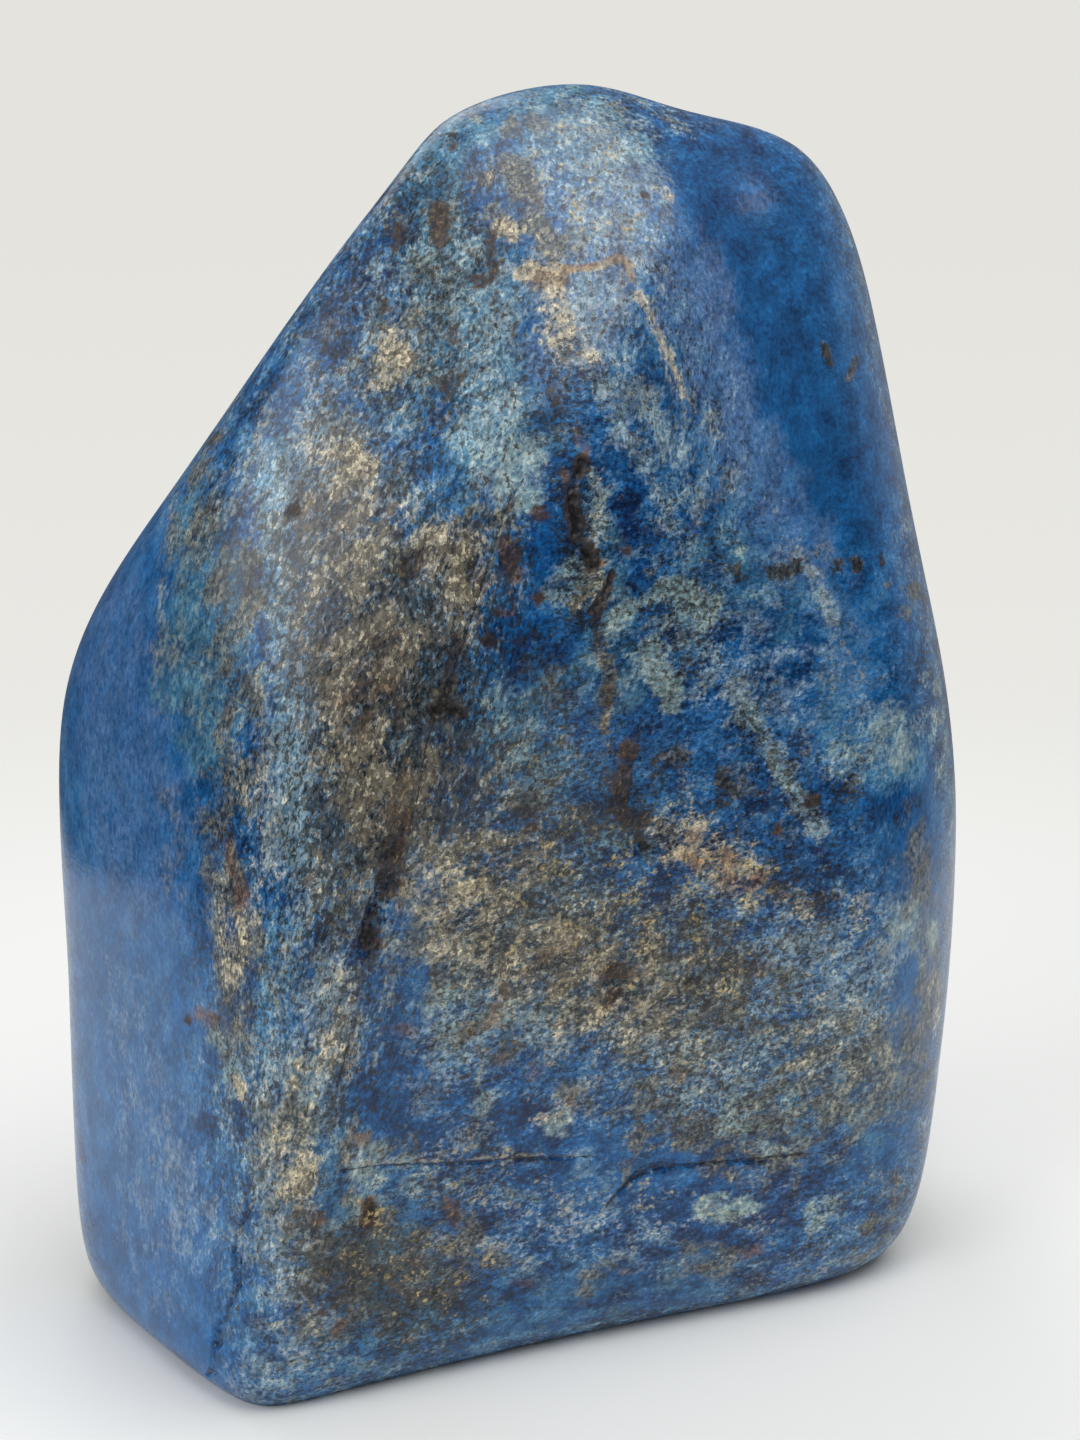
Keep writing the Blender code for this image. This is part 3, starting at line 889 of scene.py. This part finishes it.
def keep_lines(name, table, lines):
    """Stores how far each point is to the side of the nearest line, in half-widths, and if it is near."""
    aside = np.full(len(points), FAR_ASIDE)
    close = np.full(len(points), np.inf)
    for key, (half_width, *_) in table.items():
        places, outward = lines[key]
        near = around(points, places, LINE_MARGIN)
        steps, parts = steps_off(points[near], places)
        runs = places[parts + 1] - places[parts]
        across = np.cross(outward[parts], runs)
        across /= np.linalg.norm(across, axis=1)[:, None]
        length = np.linalg.norm(steps, axis=1)
        side = np.where((steps * across).sum(axis=1) < 0, -1.0, 1.0)
        closer = length < close[near]
        close[near[closer]] = length[closer]
        aside[near[closer]] = np.clip(
            side * length / (half_width * MM), -FAR_ASIDE, FAR_ASIDE)[closer]
    keep(name, aside)
    keep(name + "_near", fade(close, LINE_GONE_FROM))


keep_lines("crack", CRACKS, crack_lines)
keep_lines("seam", SEAMS, seam_lines)
keep("hollow", np.clip((sink - WAVE_DEPTH) / FULL_SHADE_DEPTH, 0, 1))


# The polished rock.
# Lapis is blue lazurite grown through with grains of white calcite, grey-green diopside, brown mica
# and brassy pyrite, most under a millimetre across. The polish leaves a satin gloss over all of them.

def paint(red, green, blue):
    """A colour for a shader from the 0 to 255 values that a screen shows."""
    shares = [value / 255 for value in (red, green, blue)]
    linear = [s / 12.92 if s <= 0.04045 else ((s + 0.055) / 1.055) ** 2.4 for s in shares]
    return (*linear, 1.0)


NIGHT_BLUE = paint(2, 38, 84)
ROYAL_BLUE = paint(24, 98, 158)
DUSTY_BLUE = paint(94, 142, 180)
AZURE_TONES = (paint(0, 54, 112), paint(14, 112, 182))
SEA_TONES = (paint(48, 96, 118), paint(108, 150, 160))
PERIWINKLE_TONES = (paint(76, 104, 150), paint(126, 150, 190))
SKY_TONES = (paint(66, 128, 168), paint(138, 188, 208))
# Calcite's tones, which also paint the highlight on the crown.
CALCITE_AND_HIGHLIGHT_TONES = (paint(100, 134, 152), paint(192, 206, 204))
OLIVE_TONES = (paint(34, 40, 40), paint(148, 146, 130))
DIOPSIDE_TONES = (paint(110, 144, 156), paint(184, 198, 188))
CREAM_TONES = (paint(138, 128, 108), paint(234, 218, 182))
RUST_TONES = (paint(80, 50, 22), paint(158, 108, 54))
MICA_TONES = (paint(16, 9, 7), paint(94, 64, 42))
SPECK_TONES = (paint(14, 18, 26), paint(44, 42, 44))
PYRITE_TONES = (paint(124, 110, 78), paint(194, 174, 124))
CRACK_DARK = paint(30, 24, 26)
SEAM_TAN = paint(176, 166, 150)

GRAINS_PER_MM = 1.55
GRAIN_DETAIL = 2.0
GRAIN_ROUGHNESS = 0.76
GRAIN_RANGE = (0.32, 0.68)
CRYSTALS_PER_MM = 2.0
CRYSTAL_GRAIN = (17, (0.8, 0.9, 1.3))
CALM_EVENS_OUT = -0.6
CHANCE_RANGE = (0.22, 0.78)

rock = bpy.data.materials.new("polished_lapis")
rock.use_nodes = True
tree = rock.node_tree
gloss = tree.nodes["Principled BSDF"]


def add(kind, settings, wires):
    """Adds a node, with its settings, and with values or other nodes' sockets in its inputs."""
    made = tree.nodes.new(kind)
    for name, value in settings.items():
        setattr(made, name, value)
    for name, value in wires.items():
        if isinstance(value, bpy.types.NodeSocket):
            tree.links.new(value, made.inputs[name])
        else:
            made.inputs[name].default_value = value
    return made


def sum_of(a, b):
    return add("ShaderNodeMath", {"operation": "ADD"}, {0: a, 1: b}).outputs[0]


def product(a, b):
    return add("ShaderNodeMath", {"operation": "MULTIPLY"}, {0: a, 1: b}).outputs[0]


def weighed(a, factor, b):
    return add("ShaderNodeMath", {"operation": "MULTIPLY_ADD"}, {0: a, 1: factor, 2: b}).outputs[0]


def spread(value, low, high, to_low=0.0, to_high=1.0):
    """A value from one range brought to another, and kept inside it."""
    wires = {"Value": value, "From Min": low, "From Max": high, "To Min": to_low, "To Max": to_high}
    return add("ShaderNodeMapRange", {"clamp": True}, wires).outputs[0]


def layered(under, over, share):
    """One colour over another, by a share from 0 to 1."""
    settings = {"data_type": "RGBA", "clamp_factor": True}
    return add("ShaderNodeMix", settings, {0: share, 6: under, 7: over}).outputs[2]


def field(name):
    """One of the amounts that are stored on the skin."""
    settings = {"attribute_type": "GEOMETRY", "attribute_name": name}
    return add("ShaderNodeAttribute", settings, {}).outputs["Fac"]


def grains(vector):
    """Three unlike noises of the rock's grain size, as a node's colour."""
    wires = {
        "Vector": vector, "Scale": GRAINS_PER_MM, "Detail": GRAIN_DETAIL, "Roughness": GRAIN_ROUGHNESS}
    return add("ShaderNodeTexNoise", {"noise_dimensions": "3D"}, wires).outputs["Color"]


def parts_of(colour):
    return add("ShaderNodeSeparateColor", {}, {"Color": colour}).outputs


def drawn(vector, lean, size):
    """Coordinates in which the grain is drawn out, along an axis that leans to the right."""
    wires = {"Vector": vector, "Rotation": (0.0, math.radians(lean), 0.0), "Scale": size}
    return add("ShaderNodeMapping", {"vector_type": "TEXTURE"}, wires).outputs[0]


place = add("ShaderNodeTexCoord", {}, {}).outputs["Object"]
bend = add("ShaderNodeAttribute", {"attribute_name": "bend"}, {}).outputs["Vector"]
bent = add("ShaderNodeVectorMath", {"operation": "MULTIPLY_ADD"}, {
    0: place, 1: (1 / MM, 1 / MM, 1 / MM), 2: bend}).outputs[0]
fine = parts_of(layered(
    grains(drawn(bent, *LEVEL_GRAIN)), grains(drawn(bent, *UPRIGHT_GRAIN)), field("upright")))
fine = [spread(part, *GRAIN_RANGE) for part in (fine[0], fine[1], fine[2])]
crystals = add("ShaderNodeTexVoronoi", {"feature": "F1", "voronoi_dimensions": "3D"}, {
    "Vector": drawn(bent, *CRYSTAL_GRAIN), "Scale": CRYSTALS_PER_MM, "Randomness": 1.0})
crystal = parts_of(crystals.outputs["Color"])
mottle = parts_of(add("ShaderNodeAttribute", {"attribute_name": "mottle"}, {}).outputs["Color"])
evenness = weighed(field("calm"), CALM_EVENS_OUT, 1.0)


def chance(fine_part, crystal_part, mottle_part, shares):
    """A noise of grains, of single crystals and of patches, spread about evenly from 0 to 1."""
    together = weighed(fine_part, shares[0], weighed(
        crystal_part, shares[1], product(mottle_part, shares[2])))
    return spread(weighed(sum_of(together, -0.5), evenness, 0.5), *CHANCE_RANGE)


def cover(amount, luck, softness):
    """Where a mineral shows: nowhere at an amount of 0, and over more of the surface as it grows."""
    height = weighed(amount, 1 + 2 * softness, sum_of(luck, -1.0))
    return spread(height, 0.0, 2 * softness)


# Lazurite, from night blue to a dusty royal blue: a fine, a crystal, a mottled and a broad share
GRAIN_TONE = 0.36
CRYSTAL_TONE = 0.16
MOTTLE_TONE = 0.3
BROAD_TONE = 0.18
DEEP_DARKENS = -0.16
LAVENDER_LIGHTENS = 0.1
TONE_RANGE = (0.15, 0.85)
NIGHT_AT = 0.05
ROYAL_AT = 0.5
DUSTY_AT = 1.0
tone = weighed(fine[0], GRAIN_TONE, weighed(crystal[0], CRYSTAL_TONE, product(mottle[0], MOTTLE_TONE)))
tone = weighed(field("broad_mottle"), BROAD_TONE, tone)
tone = weighed(sum_of(tone, -0.5), evenness, 0.5)
# The deep marks darken the blue; the band at the edge of the left face's floor reflection is painted
# shade.
tone = weighed(field("deep"), DEEP_DARKENS, tone)
tone = weighed(field("lavender"), LAVENDER_LIGHTENS, tone)
blues = add("ShaderNodeValToRGB", {}, {"Fac": spread(tone, *TONE_RANGE)})
ramp = blues.color_ramp
ramp.elements[0].position = NIGHT_AT
ramp.elements[0].color = NIGHT_BLUE
ramp.elements[1].position = DUSTY_AT
ramp.elements[1].color = DUSTY_BLUE
ramp.elements.new(ROYAL_AT).color = ROYAL_BLUE
colour = blues.outputs["Color"]

# The other minerals lie over the blue, one after another. The shares are of fine grain, of crystals and
# of mottle, and each layer has its two tones, where it shows, and how strongly.
GRAINY = (0.46, 0.18, 0.36)
SPECKLED = (0.76, 0.24, 0.0)
PATCHY = (0.28, 0.1, 0.62)
TINT_RANGE = (0.24, 0.76)
PYRITE_SHARE = 0.4
CRYSTAL_TINT = 0.4
GRAIN_TINT = 0.6
MOTTLE_LIGHTNESS = 0.6
GRAIN_LIGHTNESS = 1.0
MEAN_LIGHTNESS = 0.5 * (MOTTLE_LIGHTNESS + GRAIN_LIGHTNESS)
GRAIN_CONTRAST = 1.15
luck_1 = chance(fine[0], crystal[1], mottle[1], GRAINY)
luck_2 = chance(fine[1], crystal[2], mottle[2], GRAINY)
luck_3 = chance(fine[2], crystal[0], mottle[0], GRAINY)
specks = chance(fine[2], crystal[0], mottle[0], SPECKLED)
patchy_1 = chance(fine[1], crystal[0], mottle[0], PATCHY)
patchy_2 = chance(fine[2], crystal[1], mottle[1], PATCHY)
patchy_3 = chance(fine[0], crystal[2], mottle[2], PATCHY)
cream = cover(field("cream"), luck_2, 0.3)
umber = cover(field("umber"), luck_1, 0.3)
rust = cover(field("rust"), patchy_1, 0.42)
pepper = cover(field("pepper"), specks, 0.1)
pyrite = cover(product(field("pyrite"), PYRITE_SHARE), luck_1, 0.06)
tint = spread(weighed(crystal[1], CRYSTAL_TINT, product(fine[2], GRAIN_TINT)), *TINT_RANGE)
LAYERS = (
    (AZURE_TONES, cover(field("azure"), patchy_1, 0.45), 0.85),
    (PERIWINKLE_TONES, cover(field("lavender"), patchy_2, 0.6), 0.55),
    (SEA_TONES, cover(field("teal"), patchy_3, 0.55), 0.65),
    (SKY_TONES, cover(field("cyan"), luck_3, 0.45), 0.75),
    # Calcite frost, with the painted highlight on the crown among its marks.
    (CALCITE_AND_HIGHLIGHT_TONES, cover(field("frost_and_highlight"), luck_1, 0.34), 0.65),
    (OLIVE_TONES, cover(field("grey"), patchy_2, 0.36), 0.75),
    (DIOPSIDE_TONES, cover(field("pale"), patchy_1, 0.38), 0.92),
    (CREAM_TONES, cream, 0.85),
    (RUST_TONES, rust, 0.72),
    (MICA_TONES, umber, 0.88),
    (SPECK_TONES, pepper, 0.8),
    (PYRITE_TONES, pyrite, 0.85),
)
for (darker, paler), share, strength in LAYERS:
    colour = layered(colour, layered(darker, paler, tint), product(share, strength))
lightness = weighed(mottle[2], MOTTLE_LIGHTNESS, weighed(fine[1], GRAIN_LIGHTNESS, -MEAN_LIGHTNESS))
contrast = weighed(product(lightness, evenness), GRAIN_CONTRAST, 1.0)
colour = add("ShaderNodeVectorMath", {"operation": "SCALE"}, {0: colour, "Scale": contrast}).outputs[0]

# The seams and cracks are wavy lines, whole up to one number of half-widths and gone at another.
LINE_WAVE = 0.8
SEAM_EDGE = (0.5, 1.8)
SEAM_BREAKS = (0.3, 0.7)
SEAM_STRENGTH = 0.7
CRACK_EDGE = (0.6, 1.5)
CRACK_STRENGTH = 0.9
HOLLOW_SHADE = (0.75, 0.3, 0.1, 0.9)


def line_share(name, whole_to, gone_at):
    """A fine line: 1 along its middle, and 0 beside it."""
    size = add("ShaderNodeMath", {"operation": "ABSOLUTE"}, {0: field(name)}).outputs[0]
    wavy = weighed(fine[1], LINE_WAVE, sum_of(size, -0.5 * LINE_WAVE))
    inside = spread(wavy, whole_to, gone_at, 1.0, 0.0)
    return product(inside, field(name + "_near"))


seam = product(line_share("seam", *SEAM_EDGE), spread(fine[0], *SEAM_BREAKS))
crack = line_share("crack", *CRACK_EDGE)
colour = layered(colour, SEAM_TAN, product(seam, SEAM_STRENGTH))
colour = layered(colour, CRACK_DARK, product(crack, CRACK_STRENGTH))
shade = product(field("hollow"), spread(fine[0], *HOLLOW_SHADE))
colour = layered(colour, MICA_TONES[0], shade)
tree.links.new(colour, gloss.inputs["Base Color"])

# The polish: the calm blue takes the best gloss, and mica, rust, cream bands and cracks stay duller.
POLISH = 0.28
CALM_GLOSSIER = -0.16
MICA_DULLER = 0.2
RUST_DULLER = 0.15
CREAM_DULLER = 0.06
CRACK_DULLER = 0.3
POLISH_CHANGE = 0.08
PEEL_PER_MM = 1.1
PEEL_DETAIL = 1.0
PEEL_ROUGHNESS = 0.6
PEEL_DEPTH = 0.08 * MM
PEEL = 0.4
CALM_PEEL = -0.25
CREAM_PEEL = 0.6
STONE_IOR = 1.5
STONE_SPECULAR = 0.42
polish = weighed(crack, CRACK_DULLER, weighed(field("calm"), CALM_GLOSSIER, POLISH))
matt = weighed(umber, MICA_DULLER, weighed(rust, RUST_DULLER, weighed(cream, CREAM_DULLER, polish)))
matt = weighed(fine[1], POLISH_CHANGE, sum_of(matt, -0.5 * POLISH_CHANGE))
tree.links.new(matt, gloss.inputs["Roughness"])

orange_peel = add("ShaderNodeTexNoise", {"noise_dimensions": "3D"}, {
    "Vector": bent, "Scale": PEEL_PER_MM, "Detail": PEEL_DETAIL,
    "Roughness": PEEL_ROUGHNESS}).outputs["Fac"]
unevenness = weighed(field("cream"), CREAM_PEEL, weighed(field("calm"), CALM_PEEL, PEEL))
bump = add("ShaderNodeBump", {}, {
    "Height": orange_peel, "Strength": unevenness, "Distance": PEEL_DEPTH})
tree.links.new(bump.outputs["Normal"], gloss.inputs["Normal"])
gloss.inputs["IOR"].default_value = STONE_IOR
gloss.inputs["Specular IOR Level"].default_value = STONE_SPECULAR

stone = bpy.data.objects.new("polished_stone", skin)
skin.shade_smooth()
skin.materials.clear()
skin.materials.append(rock)
bpy.context.scene.collection.objects.link(stone)
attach(stone, "root")
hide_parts("lapis_stone")


# The floor and the light.
# The stone stands on a plain pale sheet that fades into a pale backdrop. A wide soft lamp hangs above
# it to the right, which the crown mirrors, and the room around is dimmer low down than overhead.

SHEET_RADIUS = 0.9
SHEET_PALE = paint(247, 246, 243)
SHEET_ROUGHNESS = 0.6
SHEET_WHOLE_TO = 0.09
SHEET_GONE_AT = 0.36
SHEET_EDGE_WAY = (-0.72, 0.69, 0.0)
SHEET_EDGE_AT = 0.205
SHEET_EDGE_WIDTH = 0.01
MIRRORED_WHOLE_TO = 0.2
MIRRORED_GONE_AT = 0.27
BACKDROP_LOW = paint(241, 240, 236)
BACKDROP_HIGH = paint(228, 227, 222)
BACKDROP_TURNS = (-0.5, -0.05)
ROOM_LOW = (0.10, 0.105, 0.115, 1.0)
ROOM_HIGH = (0.46, 0.48, 0.49, 1.0)
ROOM_RIGHT = (0.40, 0.42, 0.43, 1.0)
ROOM_TURNS = (0.1, 0.85)
RIGHT_TURNS = (0.75, 0.95)
TO_THE_RIGHT = (0.94, 0.34, 0.0)

sheet_mesh = bpy.data.meshes.new("pale_sheet")
sheet_shape = bmesh.new()
bmesh.ops.create_circle(sheet_shape, cap_ends=True, segments=96, radius=SHEET_RADIUS)
sheet_shape.to_mesh(sheet_mesh)
sheet_shape.free()
sheet = bpy.data.objects.new("pale_sheet", sheet_mesh)
bpy.context.scene.collection.objects.link(sheet)
paper = bpy.data.materials.new("pale_paper")
paper.use_nodes = True
tree = paper.node_tree
face = tree.nodes["Principled BSDF"]
face.inputs["Base Color"].default_value = SHEET_PALE
face.inputs["Roughness"].default_value = SHEET_ROUGHNESS
spot = add("ShaderNodeTexCoord", {}, {}).outputs["Object"]
away = add("ShaderNodeVectorMath", {"operation": "LENGTH"}, {0: spot}).outputs["Value"]
gone = add("ShaderNodeMapRange", {"interpolation_type": "SMOOTHSTEP"}, {
    "Value": away, "From Min": SHEET_WHOLE_TO, "From Max": SHEET_GONE_AT}).outputs[0]
past_edge = add("ShaderNodeVectorMath", {"operation": "DOT_PRODUCT"}, {0: spot, 1: SHEET_EDGE_WAY})
past_edge = spread(past_edge.outputs["Value"], SHEET_EDGE_AT, SHEET_EDGE_AT + SHEET_EDGE_WIDTH)
past_edge = add("ShaderNodeMath", {"operation": "MAXIMUM"}, {
    0: past_edge, 1: spread(away, MIRRORED_WHOLE_TO, MIRRORED_GONE_AT)}).outputs[0]
mirrored = add("ShaderNodeLightPath", {}, {}).outputs["Is Glossy Ray"]
missing = add("ShaderNodeMix", {"data_type": "FLOAT"}, {0: mirrored, 2: gone, 3: past_edge}).outputs[0]
clear = add("ShaderNodeBsdfTransparent", {}, {})
both = add("ShaderNodeMixShader", {}, {0: missing, 1: face.outputs[0], 2: clear.outputs[0]})
tree.links.new(both.outputs[0], tree.nodes["Material Output"].inputs["Surface"])
sheet_mesh.materials.append(paper)

room = bpy.data.worlds.new("studio")
bpy.context.scene.world = room
room.use_nodes = True
tree = room.node_tree
tree.nodes.clear()
way = add("ShaderNodeTexCoord", {}, {}).outputs["Generated"]
lift = add("ShaderNodeSeparateXYZ", {}, {"Vector": way}).outputs["Z"]
room_light = layered(ROOM_LOW, ROOM_HIGH, spread(lift, *ROOM_TURNS))
rightward = add("ShaderNodeVectorMath", {"operation": "DOT_PRODUCT"}, {0: way, 1: TO_THE_RIGHT})
room_light = layered(room_light, ROOM_RIGHT, spread(rightward.outputs["Value"], *RIGHT_TURNS))
looked_at = add("ShaderNodeLightPath", {}, {}).outputs["Is Camera Ray"]
dim = add("ShaderNodeBackground", {}, {"Color": room_light, "Strength": 1.0})
backdrop = layered(BACKDROP_LOW, BACKDROP_HIGH, spread(lift, *BACKDROP_TURNS))
pale = add("ShaderNodeBackground", {}, {"Color": backdrop, "Strength": 1.0})
air = add("ShaderNodeMixShader", {}, {0: looked_at, 1: dim.outputs[0], 2: pale.outputs[0]})
add("ShaderNodeOutputWorld", {}, {"Surface": air.outputs[0]})


def soft_lamp(name, azimuth, elevation, distance, size, power):
    """A square soft lamp that faces the stone's middle, its direction in degrees from the front."""
    lamp = bpy.data.lights.new(name, "AREA")
    lamp.shape = "SQUARE"
    lamp.size = size
    lamp.energy = power
    turn = math.radians(azimuth)
    tip = math.radians(elevation)
    way = Vector((math.sin(turn) * math.cos(tip), -math.cos(turn) * math.cos(tip), math.sin(tip)))
    middle = Vector((0.0, 0.0, 0.5 * (solid_low[2] + solid_high[2])))
    holder = bpy.data.objects.new(name, lamp)
    holder.matrix_world = Matrix.Translation(middle + way * distance) @ way.to_track_quat(
        "Z", "Y").to_matrix().to_4x4()
    bpy.context.scene.collection.objects.link(holder)


soft_lamp("overhead_lamp", azimuth=42, elevation=67, distance=0.62, size=0.5, power=2.3)
soft_lamp("left_lamp", azimuth=-75, elevation=32, distance=1.0, size=0.6, power=3.6)
soft_lamp("back_lamp", azimuth=185, elevation=50, distance=1.2, size=0.8, power=3.6)

bpy.context.scene.view_settings.view_transform = "Standard"
